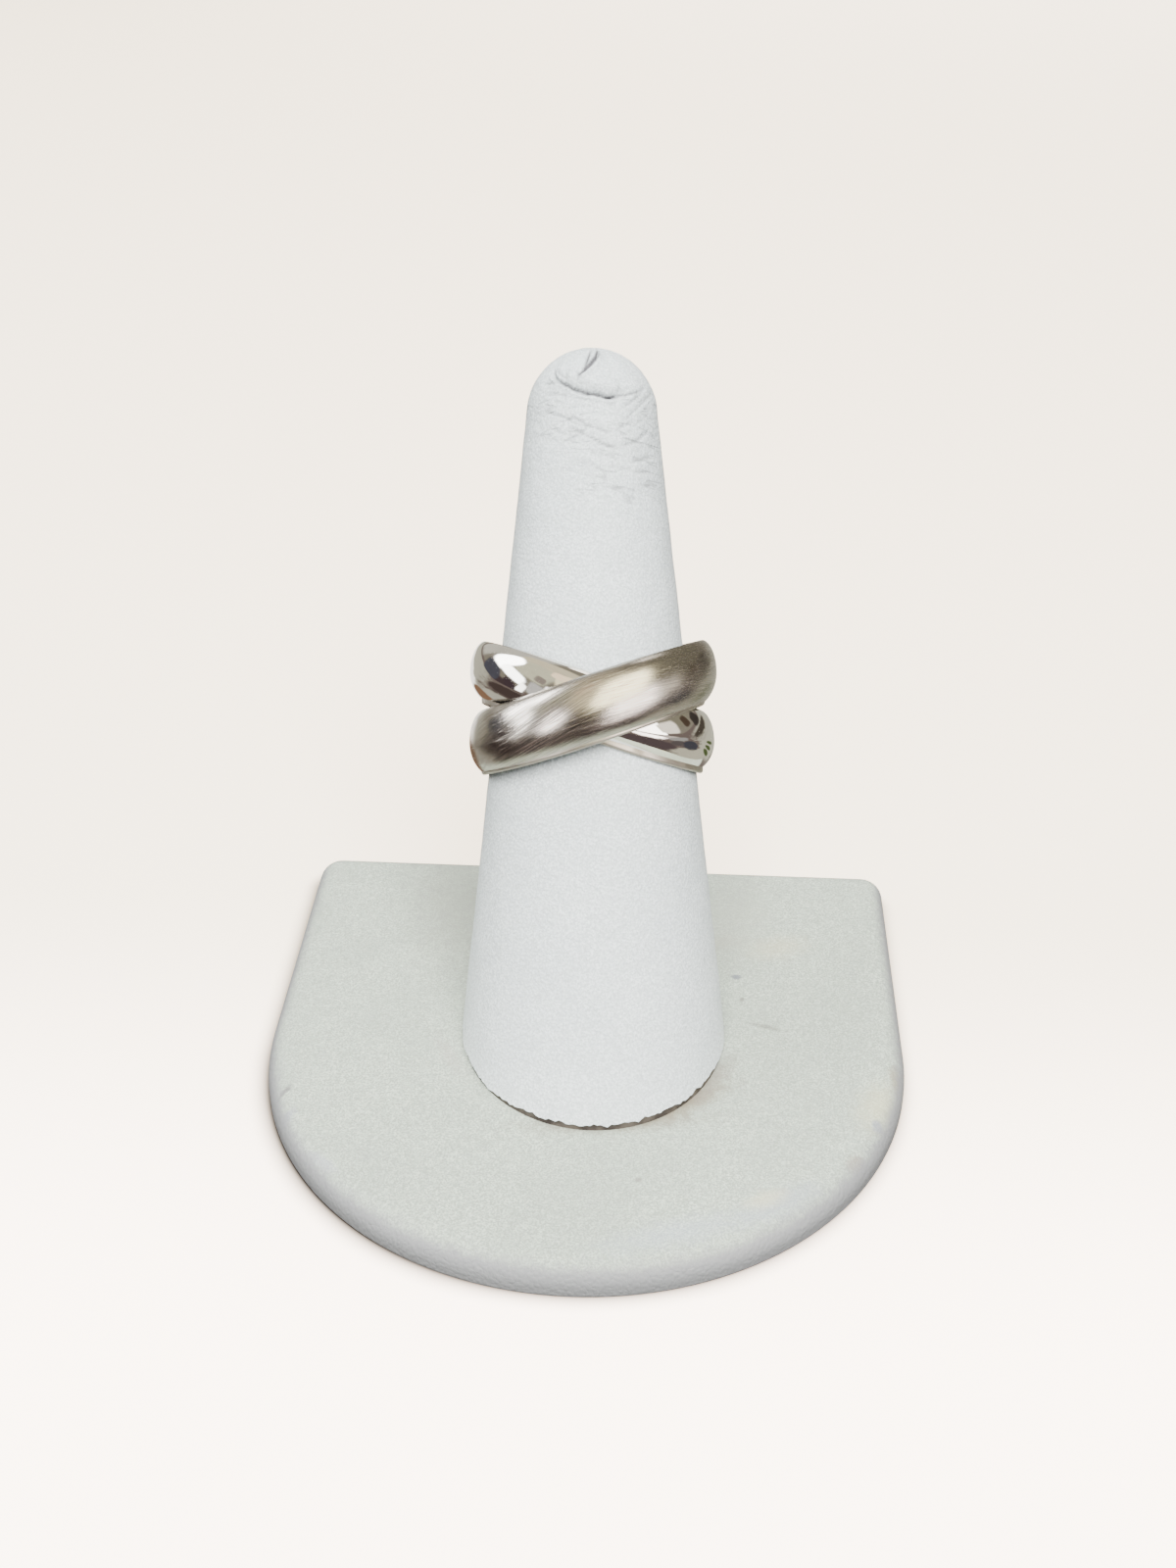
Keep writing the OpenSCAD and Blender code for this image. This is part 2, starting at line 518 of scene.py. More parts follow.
def unpick(obj: bpy.types.Object, kind: str) -> None:
    """Takes an object and leaves none of its faces or edges selected.

    Args:
        obj: the object.
        kind: what is picked next, FACE or EDGE.
    """
    take(obj)
    bpy.ops.object.mode_set(mode="EDIT")
    bpy.ops.mesh.select_mode(type=kind)
    bpy.ops.mesh.select_all(action="DESELECT")
    bpy.ops.object.mode_set(mode="OBJECT")


def pick_faces(obj: bpy.types.Object, test: Callable[[bpy.types.MeshPolygon], bool]) -> None:
    """Opens the object in edit mode with only the faces that pass a test selected.

    Args:
        obj: the object.
        test: says which faces are wanted.
    """
    unpick(obj, "FACE")
    for face in obj.data.polygons:
        face.select = test(face)
    bpy.ops.object.mode_set(mode="EDIT")


def pick_edges(obj: bpy.types.Object, test: Callable[[Vector, Vector], bool]) -> None:
    """Opens the object in edit mode with only the edges that pass a test selected.

    Args:
        obj: the object.
        test: says, from an edge's two ends, which edges are wanted.
    """
    unpick(obj, "EDGE")
    for edge in obj.data.edges:
        edge.select = test(*(obj.data.vertices[i].co for i in edge.vertices))
    bpy.ops.object.mode_set(mode="EDIT")


def smooth(obj: bpy.types.Object, angle: float) -> None:
    """Shades an object smooth up to an angle, in degrees."""
    take(obj)
    bpy.ops.object.shade_smooth_by_angle(angle=math.radians(angle))


def arc(centre: Pair, radius: float, start: float, end: float, steps: int) -> list[Pair]:
    """Lists points of an arc, both ends included.

    Args:
        centre: the arc's centre.
        radius: its radius.
        start: angle of its first point, in degrees.
        end: angle of its last point.
        steps: how many stretches it has.

    Returns:
        The points.
    """
    turns = [math.radians(start + (end - start) * k / steps) for k in range(steps + 1)]
    return [(centre[0] + radius * math.cos(t), centre[1] + radius * math.sin(t)) for t in turns]


def wrapped_sheet(name: str, columns: int, rows: int, place: Callable[[float, float], Vector]) -> bpy.types.Object:
    """Lays a grid over a form and sews the edges that meet.

    Args:
        name: the piece's name.
        columns: cells along the grid's first side.
        rows: cells along its second side.
        place: the form: a point in metres for each pair of shares from 0 to 1.

    Returns:
        The piece, closed, with its faces outwards.
    """
    deselect()
    bpy.ops.mesh.primitive_grid_add(x_subdivisions=columns, y_subdivisions=rows, size=1.0, calc_uvs=True)
    obj = bpy.context.object
    obj.name = name
    for point in obj.data.vertices:
        point.co = place(min(max(point.co.x + 0.5, 0.0), 1.0), min(max(point.co.y + 0.5, 0.0), 1.0))
    bpy.ops.object.mode_set(mode="EDIT")
    bpy.ops.mesh.select_all(action="SELECT")
    bpy.ops.mesh.remove_doubles(threshold=WELD)
    bpy.ops.mesh.normals_make_consistent(inside=False)
    bpy.ops.object.mode_set(mode="OBJECT")
    return obj


@dataclass
class Stand:
    """Sizes that the finger and the ring share. Lengths are in millimetres and angles in degrees."""

    wide_y: float
    plate_top: float = 3.0
    foot_r: float = 11.8
    taper: float = 6.25
    length: float = 60.4
    lean: float = 29.0
    turn: float = 4.1
    foot_x: float = 0.5
    foot_behind: float = 1.0

    @cached_property
    def foot(self) -> Vector:
        """The foot's centre on the plate."""
        return Vector((self.foot_x, self.wide_y + self.foot_behind, self.plate_top))

    @cached_property
    def frame(self) -> Matrix:
        """Turns the finger's own directions, right, back and up its axis, into the part's."""
        return Matrix.Rotation(math.radians(self.turn), 3, "Z") @ Matrix.Rotation(math.radians(-self.lean), 3, "X")

    @cached_property
    def tip_r(self) -> float:
        """Radius of the tip's ball, which the cone touches all round."""
        slope = math.radians(self.taper)
        return (self.foot_r * math.cos(slope) - self.length * math.sin(slope)) / (1 - math.sin(slope))

    def radius(self, up: float) -> float:
        """Radius of the cone at a distance up the axis."""
        return self.foot_r - math.tan(math.radians(self.taper)) * up

    def on_axis(self, local: Vector, up: float = 0.0) -> Vector:
        """Places a point of the finger's own frame in the part, in metres."""
        return (self.foot + self.frame @ (local + Vector((0, 0, up)))) * MM


@dataclass
class Band:
    """One closed band of the ring. Lengths are in millimetres."""

    name: str
    node: str
    slot: str
    over_turn: float
    stand: Stand
    bore: float = 19.0
    up: float = 28.7
    width: float = 5.7
    thick: float = 1.4
    rim_t: float = 0.38
    low_rim: float = 0.55
    low_end: float = 66.0
    top_foot: float = 0.22
    rise: float = 3.25
    bend: float = 0.1
    inner_edge: float = 0.09
    low_edge: float = 0.24
    crown: float = 0.04
    fit_gap: float = 0.13
    pass_gap: float = 0.28
    lower_share: float = 0.52
    over_power: float = 1.0
    under_power: float = 2.0
    stations: int = 384
    dome_steps: int = 44
    bore_steps: int = 12
    edge_steps: int = 4
    low_steps: int = 6
    top_end: float = 80.0
    smooth_to: float = 32.0

    UV = "UVMap"

    def inner_r(self, turn: float) -> float:
        """Finds the inner radius.

        Args:
            turn: angle in radians from the place where the band passes over.

        Returns:
            The radius.
        """
        bore_r = self.bore / 2
        under_r = self.stand.radius(self.up - self.lower_share * self.width) + self.fit_gap
        over_r = under_r + self.thick + self.pass_gap
        share = math.cos(turn)
        if share > 0:
            return bore_r + (over_r - bore_r) * share ** self.over_power
        return bore_r + (under_r - bore_r) * (-share) ** self.under_power

    def wave(self, turn: float) -> float:
        """Height of the middle line."""
        return self.rise * math.sin(turn) + self.bend * math.sin(3 * turn)

    def widening(self, turn: float) -> float:
        """Finds how much wider the band measures along the finger where it slants.

        Args:
            turn: angle in radians from the place where the band passes over.

        Returns:
            The width there, as a multiple of the band's width.
        """
        run = self.bore / 2 + self.thick / 2
        slope = (self.rise * math.cos(turn) + 3 * self.bend * math.cos(3 * turn)) / run
        return math.sqrt(1 + slope * slope)

    def section(self) -> tuple[list[Pair], range]:
        """Works out the section: distance across, and height over the inner wall.

        Returns:
            Points of the closed outline, from the lower edge over the inner wall and back over the dome, and the
            places in that list where the dome lies. The lower rim comes after the dome.
        """
        half, edge = self.width / 2, self.inner_edge
        steps = self.bore_steps // 2
        inner = [(half - edge) * math.sin(math.pi / 2 * k / steps) for k in range(-steps, steps + 1)]
        points = [(v, self.crown * (v / half) ** 2) for v in inner]
        points += arc((half - edge, self.crown + edge), edge, -90, 0, self.edge_steps)[1:]
        start = len(points)
        for k in range(self.dome_steps + 1):
            share = 1 - 2 * k / self.dome_steps
            reach, foot, end = ((half, self.top_foot, math.radians(self.top_end)) if share > 0
                                else (half - self.low_rim, self.rim_t, math.radians(self.low_end)))
            rise = (math.cos(share * end) - math.cos(end)) / (1 - math.cos(end))
            points.append((reach * math.sin(share * end) / math.sin(end), foot + (self.thick - foot) * rise))
        dome = range(start, len(points) - 1)
        points += arc((self.low_edge - half, self.rim_t - self.low_edge), self.low_edge, 90, 180, self.low_steps)
        points += arc((edge - half, self.crown + edge), edge, 180, 270, self.edge_steps)[:-1]
        return points, dome

    def build(self, faces: MetalFinish, rim: MetalFinish, bore: MetalFinish) -> bpy.types.Object:
        """Sweeps the section round the finger and dresses it.

        Args:
            faces: finish of the dome.
            rim: finish of the rim along the lower edge.
            bore: finish of the inner wall and the upper edge; its dark tone paints shade along the upper edge.

        Returns:
            The band.
        """
        outline, dome = self.section()
        count = len(outline)

        def place(along: float, across: float) -> Vector:
            turn = 2 * math.pi * (along + 0.5)
            v, r = outline[round(across * count) % count]
            angle = turn + math.radians(self.over_turn)
            reach = self.inner_r(turn) + r
            height = self.wave(turn) + v * self.widening(turn)
            return self.stand.on_axis(Vector((reach * math.sin(angle), -reach * math.cos(angle), height)), self.up)

        obj = wrapped_sheet(self.name, self.stations, count, place)
        for finish in (faces, rim, bore):
            obj.data.materials.append(finish.material())
        self.part_faces(obj, count, dome)
        smooth(obj, self.smooth_to)
        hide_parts(self.node)
        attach(obj, "root")
        return obj

    def part_faces(self, obj: bpy.types.Object, count: int, dome: range) -> None:
        """Gives the dome, the lower rim and the bore their finishes, from the band's UV map.

        Args:
            obj: the band.
            count: points in the section's outline.
            dome: the points that the dome's faces start from.
        """
        layer = obj.data.uv_layers[0]
        layer.name = self.UV
        for face in obj.data.polygons:
            middle = sum(layer.data[i].uv[1] for i in face.loop_indices) / face.loop_total
            spot = int(middle * count)
            face.material_index = 0 if spot in dome else 1 if dome.stop <= spot < count - self.edge_steps else 2


@dataclass(frozen=True)
class Crease:
    """A fold of the cover near the tip. Each point is an angle from the front and a distance up the finger."""

    points: tuple[Pair, ...]
    width: float
    depth: float
    swell: float = 0.45
    dark: float = 0.5

    # Degrees over which a fold fades at its ends, and its strength at the very end
    FADE = 5
    END = 0.6
    # Widths of a fold within which it raises or sinks the cover, and within which it is dark
    REACH = 5
    DARK_REACH = 3
    # Widths below the fold at which the swell is highest
    SWELL_AT = 1.7

    def offset(self, degrees: float, up: float) -> Pair:
        """Finds how a place lies to the fold.

        Args:
            degrees: angle from the front, growing to the right.
            up: distance up the finger.

        Returns:
            How far above the fold it lies, in widths of the fold, and how strong the fold is there.
        """
        strength = min(1.0, min(degrees - self.points[0][0], self.points[-1][0] - degrees) / self.FADE + self.END)
        for (angle_0, up_0), (angle_1, up_1) in zip(self.points, self.points[1:]):
            if degrees <= angle_1:
                break
        line = up_0 + (up_1 - up_0) * (degrees - angle_0) / (angle_1 - angle_0)
        return (up - line) / self.width, max(0.0, strength)

    def height(self, degrees: float, up: float) -> float:
        """Finds the height of the cover: a groove with a swell under it.

        Args:
            degrees: angle from the front, growing to the right.
            up: distance up the finger.

        Returns:
            The height over the plain form.
        """
        off, strength = self.offset(degrees, up)
        if strength == 0 or abs(off) > self.REACH:
            return 0.0
        return self.depth * strength * (self.swell * math.exp(-(off + self.SWELL_AT) ** 2) - math.exp(-off * off))

    def shade(self, degrees: float, up: float) -> float:
        """How dark the painted shade in the groove is there."""
        off, strength = self.offset(degrees, up)
        return 0.0 if abs(off) > self.DARK_REACH else self.dark * strength * math.exp(-1.6 * off * off)


@dataclass
class FingerCover:
    """The padded finger's cover. Lengths are in millimetres and angles in degrees."""

    stand: Stand
    lip: float = 0.36
    lift: float = 0.12
    lift_at: float = 25.0
    recess: float = 0.26
    ragged: float = 0.27
    around: int = 264
    cone_rows: int = 190
    tip_rows: int = 64
    crowding: float = 1.7
    pleats: int = 11
    pleat_depth: float = 0.2
    pleats_from: float = 55.5
    pleats_fade: float = 4.0
    pleats_front: float = 0.35
    wrinkles_from: float = 44.0
    wrinkles_fade: float = 8.0
    wrinkle_depth: float = 0.06
    folds_from: float = 45.0
    darkest: float = 0.9
    darkening: float = 1.6
    smooth_to: float = 50.0
    creases: tuple[Crease, ...] = (
        Crease(((-46, 57.7), (-38, 57.1), (-28, 56.6), (-19, 56.1), (-10, 55.8), (1, 55.6), (11, 55.3), (18, 55.35)),
               0.21, 0.38, 0.4, 0.62),
        Crease(((10, 55.35), (22, 55.4), (32, 55.6), (47, 56.1)), 0.15, 0.16, 0.3, 0.35),
        Crease(((-24, 57.3), (-8, 56.9), (8, 56.4), (22, 56.2)), 0.55, -0.34, 0.3, 0.0),
        Crease(((-42, 57.9), (-26, 57.1)), 0.16, 0.1, 0.3, 0.3),
        Crease(((-50, 56.8), (-36, 56.6)), 0.16, 0.1, 0.3, 0.3),
        Crease(((-44, 55.8), (-24, 55.4)), 0.2, 0.1, 0.4, 0.25),
        Crease(((-13, 57.3), (-10, 57.6), (-6, 58.1), (-2, 58.5), (1, 58.8), (6, 59.2), (12, 59.8)),
               0.34, 0.5, 0.4, 1.0),
        Crease(((-9, 58.2), (-7, 58.8), (-4, 59.5)), 0.6, 0.25, 0.3, 0.6),
        Crease(((-41, 54.1), (-23, 53.5), (-12, 52.9)), 0.16, 0.1, 0.4, 0.3),
        Crease(((-17, 53.6), (-5, 52.9), (12, 52.2)), 0.16, 0.1, 0.5, 0.35),
        Crease(((-18, 52.6), (-5, 51.9), (6, 51.3), (18, 51.0)), 0.16, 0.12, 0.5, 0.4),
        Crease(((-36, 52.7), (-20, 52.0)), 0.2, 0.08, 0.4, 0.15),
        Crease(((-3, 50.6), (8, 50.4), (19, 50.0)), 0.16, 0.08, 0.5, 0.25),
        Crease(((24, 51.1), (38, 51.7), (53, 52.7)), 0.2, 0.12, 0.5, 0.25),
        Crease(((33, 49.9), (52, 50.4)), 0.18, 0.1, 0.5, 0.35),
        Crease(((-14, 49.9), (-1, 49.5), (7, 49.0)), 0.16, 0.07, 0.4, 0.2),
        Crease(((12, 49.4), (29, 49.2)), 0.16, 0.07, 0.4, 0.2),
        Crease(((34, 48.9), (48, 49.1)), 0.16, 0.08, 0.4, 0.35),
        Crease(((35, 47.8), (49, 48.0)), 0.16, 0.06, 0.4, 0.25),
        Crease(((6, 47.6), (21, 47.5)), 0.16, 0.06, 0.4, 0.15),
        Crease(((26, 54.5), (42, 55.5), (58, 56.6)), 0.17, 0.07, 0.5, 0.22),
        Crease(((28, 53.5), (49, 55.1), (68, 56.2)), 0.17, 0.07, 0.5, 0.2),
        Crease(((36, 53.0), (55, 54.2)), 0.16, 0.05, 0.4, 0.15),
        Crease(((20, 52.6), (35, 53.3)), 0.18, 0.08, 0.4, 0.2),
    )

    # Rows of the recess under the cut edge: their heights as shares of the lip, and their depths as shares of the
    # recess. The last row's height is that of the cut edge.
    RECESS_HEIGHTS = (0.0, 0.6)
    RECESS_DEPTHS = (1.0, 0.9, 0.35)
    # What makes the cut edge ragged: waves round the foot, place in the noise and share of each layer
    RAGS = ((6, 1.7, 0.6), (23, 4.1, 0.8))
    # Soft unevenness of the cover, and what makes its folds run unevenly: height, and waves for each millimetre
    UNEVEN = ((0.05, 0.35), (0.02, 1.1))
    BENDS = ((0.16, 0.8), (0.06, 2.6))

    def build(self, cover: LeatherFinish, glue_and_shade: bpy.types.Material) -> bpy.types.Object:
        """Wraps the cover round the finger, from its cut edge at the foot to the gathered tip.

        Args:
            cover: the cover's finish.
            glue_and_shade: material of the recess under the cut edge, which also paints the shade in the gap.

        Returns:
            The finger.
        """
        recess_rows = len(self.RECESS_DEPTHS)
        rows = self.cone_rows + self.tip_rows + recess_rows

        def place(across: float, along: float) -> Vector:
            return self.point(2 * math.pi * across, round(along * rows))

        obj = wrapped_sheet("finger_cover", self.around, rows, place)
        pick_edges(obj, lambda a, b: max(a.z, b.z) < (self.stand.plate_top + HAIR) * MM)
        bpy.ops.mesh.fill()
        bpy.ops.mesh.select_all(action="SELECT")
        bpy.ops.mesh.normals_make_consistent(inside=False)
        deselect()
        obj.data.materials.append(cover.material())
        obj.data.materials.append(glue_and_shade)
        layer = obj.data.uv_layers[0].data
        for face in obj.data.polygons:
            top_row = round(max(layer[i].uv[1] for i in face.loop_indices) * rows)
            face.material_index = 1 if top_row <= recess_rows else 0
        smooth(obj, self.smooth_to)
        self.shade_folds(obj)
        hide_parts("finger")
        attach(obj, "root")
        return obj

    def point(self, angle: float, row: int) -> Vector:
        """Finds a point of the cover.

        Args:
            angle: angle round the finger from its front, in radians, growing to the right.
            row: row up the cover; the first three make the recess under the cut edge.

        Returns:
            The point in metres.
        """
        out = Vector((math.sin(angle), -math.cos(angle), 0))
        stand, slope = self.stand, math.radians(self.stand.taper)
        step = row - len(self.RECESS_DEPTHS)
        if step < 0:
            heights = [self.lip * share for share in self.RECESS_HEIGHTS] + [self.edge_height(angle)]
            return self.at_height(out, heights[row], self.recess * self.RECESS_DEPTHS[row])
        foot = self.up_at(out, self.edge_height(angle))
        middle = stand.length - stand.tip_r
        touch = middle + stand.tip_r * math.sin(slope)
        if step <= self.cone_rows:
            up = touch - (touch - foot) * (1 - step / self.cone_rows) ** self.crowding
            radius, normal = stand.radius(up), out
        else:
            tilt = slope + (math.pi / 2 - slope) * (step - self.cone_rows) / self.tip_rows
            up, radius = middle + stand.tip_r * math.sin(tilt), stand.tip_r * math.cos(tilt)
            normal = out * math.cos(tilt) + Vector((0, 0, math.sin(tilt)))
        local = out * radius + Vector((0, 0, up))
        return stand.on_axis(local + normal * self.relief(angle, up, radius))

    def edge_height(self, angle: float) -> float:
        """Finds the height of the cut edge over the plate, a little ragged.

        Args:
            angle: angle round the finger from its front, in radians.

        Returns:
            The height.
        """
        rags = sum(share * noise.noise(Vector((math.sin(angle) * waves, math.cos(angle) * waves, place)))
                   for waves, place, share in self.RAGS)
        lifted = self.lift * math.cos(angle - math.radians(self.lift_at))
        return self.lip + lifted + self.ragged * rags

    def up_at(self, out: Vector, height: float) -> float:
        """Finds where up the axis the cone's side reaches a height over the plate.

        Args:
            out: direction away from the axis, in the finger's own frame.
            height: height over the plate.

        Returns:
            The distance up the axis.
        """
        frame, slope = self.stand.frame, math.tan(math.radians(self.stand.taper))
        start = (frame @ out).z * self.stand.foot_r
        climb = (frame @ Vector((0, 0, 1))).z - (frame @ out).z * slope
        return (height - start) / climb

    def at_height(self, out: Vector, height: float, inset: float) -> Vector:
        """Finds a point of the recess, drawn in from the cone.

        Args:
            out: direction away from the axis, in the finger's own frame.
            height: height over the plate.
            inset: how far it lies inside the cone.

        Returns:
            The point in metres.
        """
        up = self.up_at(out, height)
        point = self.stand.on_axis(out * (self.stand.radius(up) - inset) + Vector((0, 0, up)))
        point.z = (self.stand.plate_top + height) * MM
        return point

    def relief(self, angle: float, up: float, radius: float) -> float:
        """Height of the folds over the plain form.

        Args:
            angle: angle round the finger, in radians.
            up: distance up the axis.
            radius: radius there.

        Returns:
            The height, negative in a fold.
        """
        around = Vector((math.sin(angle) * radius, math.cos(angle) * radius, up))
        soft = sum(height * noise.noise(around * waves) for height, waves in self.UNEVEN)
        behind = max(0.0, min(1.0, -1.5 * math.cos(angle)))
        tip = max(0.0, min(1.0, (up - self.pleats_from) / self.pleats_fade))
        tip *= self.pleats_front + (1 - self.pleats_front) * behind
        swing = angle * self.pleats + 1.6 * noise.noise(around * 0.5)
        pleat = -self.pleat_depth * tip * (1 - abs(math.cos(swing / 2))) ** 2
        wrinkle = 0.0
        if up > self.wrinkles_from:
            fade = min(1.0, (up - self.wrinkles_from) / self.wrinkles_fade)
            stretched = Vector((around.x, around.y, around.z * 1.9))
            ridge = abs(noise.noise(stretched * 0.9 + Vector((3.1, 0.4, 7.7))))
            wrinkle = -self.wrinkle_depth * fade * max(0.0, 1 - ridge / 0.12)
        degrees, shift = self.bent(angle, up, around)
        folds = self.creases if up > self.folds_from else ()
        return soft + pleat + wrinkle + sum(crease.height(degrees, shift) for crease in folds)

    def bent(self, angle: float, up: float, around: Vector) -> Pair:
        """Shifts a place a little, so that the folds run unevenly.

        Args:
            angle: angle round the finger, in radians.
            up: distance up the axis.
            around: the place in the finger's own frame.

        Returns:
            The angle from the front in degrees, and the shifted distance up the axis.
        """
        degrees = math.degrees(math.atan2(math.sin(angle), math.cos(angle)))
        return degrees, sum((height * noise.noise(around * waves) for height, waves in self.BENDS), up)

    def shade_folds(self, obj: bpy.types.Object) -> None:
        """Keeps the painted shade of each fold with the cover's points, for its material.

        Args:
            obj: the cover.
        """
        layer = obj.data.attributes.new(LeatherFinish.FOLDS, "FLOAT", "POINT")
        back = self.stand.frame.transposed()
        for value, point in zip(layer.data, obj.data.vertices):
            local = back @ (point.co / MM - self.stand.foot)
            if local.z > self.folds_from:
                around = Vector((local.x, -local.y, local.z))
                degrees, shift = self.bent(math.atan2(local.x, -local.y), local.z, around)
                dark = sum(crease.shade(degrees, shift) for crease in self.creases)
                value.value = min(self.darkest, self.darkening * dark)


@dataclass
class PlateCover:
    """The stand's flat plate. Lengths are in millimetres."""

    wide_y: float
    half_w: float = 28.5
    front: float = 29.4
    back: float = 27.5
    thick: float = 3.0
    edge: float = 2.0
    corner: float = 2.2
    foot_edge: float = 0.4
    segments: int = 160
    corner_steps: int = 8
    edge_steps: int = 10
    foot_steps: int = 3
    smooth_to: float = 40.0

    def build(self, cover: LeatherFinish) -> bpy.types.Object:
        """Cuts a disc in half, draws its back out square and rounds the edges.

        Args:
            cover: the cover's finish.

        Returns:
            The plate.
        """
        deselect()
        wide_y = self.wide_y
        bpy.ops.mesh.primitive_cylinder_add(
            vertices=self.segments, radius=self.half_w * MM, depth=self.thick * MM,
            location=(0, wide_y * MM, self.thick / 2 * MM))
        obj = bpy.context.object
        obj.name = "plate_cover"
        bpy.ops.object.transform_apply(location=True, rotation=True, scale=True)
        bpy.ops.object.mode_set(mode="EDIT")
        bpy.ops.mesh.select_all(action="SELECT")
        bpy.ops.mesh.bisect(plane_co=(0, wide_y * MM, 0), plane_no=(0, 1, 0), use_fill=True, clear_outer=True)
        bpy.ops.mesh.select_all(action="SELECT")
        bpy.ops.transform.resize(value=(1, self.front / self.half_w, 1), center_override=(0, wide_y * MM, 0))
        pick_faces(obj, lambda face: face.normal.y > 0.9)
        bpy.ops.mesh.extrude_region_move(TRANSFORM_OT_translate={"value": (0, self.back * MM, 0)})
        bpy.ops.mesh.select_all(action="SELECT")
        bpy.ops.mesh.dissolve_limited(angle_limit=math.radians(0.5))
        back_y = (wide_y + self.back) * MM
        self.bevel(obj, self.corner, self.corner_steps,
                   lambda a, b: abs(a.z - b.z) > MM and min(a.y, b.y) > back_y - HAIR * MM)
        self.bevel(obj, self.edge, self.edge_steps, lambda a, b: min(a.z, b.z) > (self.thick - HAIR) * MM)
        self.bevel(obj, self.foot_edge, self.foot_steps, lambda a, b: max(a.z, b.z) < HAIR * MM)
        deselect()
        obj.data.materials.append(cover.material())
        smooth(obj, self.smooth_to)
        flat = obj.modifiers.new("flat faces stay flat", "WEIGHTED_NORMAL")
        flat.keep_sharp = True
        take(obj)
        bpy.ops.object.modifier_apply(modifier=flat.name)
        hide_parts("base_plate")
        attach(obj, "root")
        return obj

    @staticmethod
    def bevel(obj: bpy.types.Object, width: float, steps: int, test: Callable[[Vector, Vector], bool]) -> None:
        """Rounds the edges that pass a test.

        Args:
            obj: the piece.
            width: the rounding's width in millimetres.
            steps: faces across the rounding.
            test: says, from an edge's two ends, which edges are rounded.
        """
        pick_edges(obj, test)
        bpy.ops.mesh.bevel(offset=width * MM, offset_type="OFFSET", segments=steps, profile=0.5, affect="EDGES",
                           clamp_overlap=False)


@dataclass(frozen=True)
class Card:
    """A light, or a panel that only the metal mirrors. Angles are in degrees, as seen from the ring.

    Azimuth 0 is towards the front, and 90 is to the right. The distance is in millimetres.
    """

    name: str
    azimuth: float
    elevation: float
    wide: float
    high: float
    distance: float
    colour: Colour
    power: float = 1.0
    roll: float = 0.0
    soft: float = 0.25

    def size(self) -> Pair:
        """Width and height in millimetres."""
        return tuple(2 * self.distance * math.tan(math.radians(side) / 2) for side in (self.wide, self.high))

    def place(self, target: Vector) -> Matrix:
        """Finds where the card stands, facing the ring.

        Args:
            target: the ring's middle in millimetres.

        Returns:
            The card's matrix.
        """
        a, e = math.radians(self.azimuth), math.radians(self.elevation)
        away = Vector((math.sin(a) * math.cos(e), -math.cos(a) * math.cos(e), math.sin(e)))
        turn = away.to_track_quat("Z", "Y").to_matrix().to_4x4() @ Matrix.Rotation(math.radians(self.roll), 4, "Z")
        return Matrix.Translation((target + away * self.distance) * MM) @ turn


@dataclass(frozen=True)
class Patch:
    """A soft patch of the table top that the metal mirrors. Lengths are in millimetres."""

    place: Pair
    size: Pair
    colour: Colour


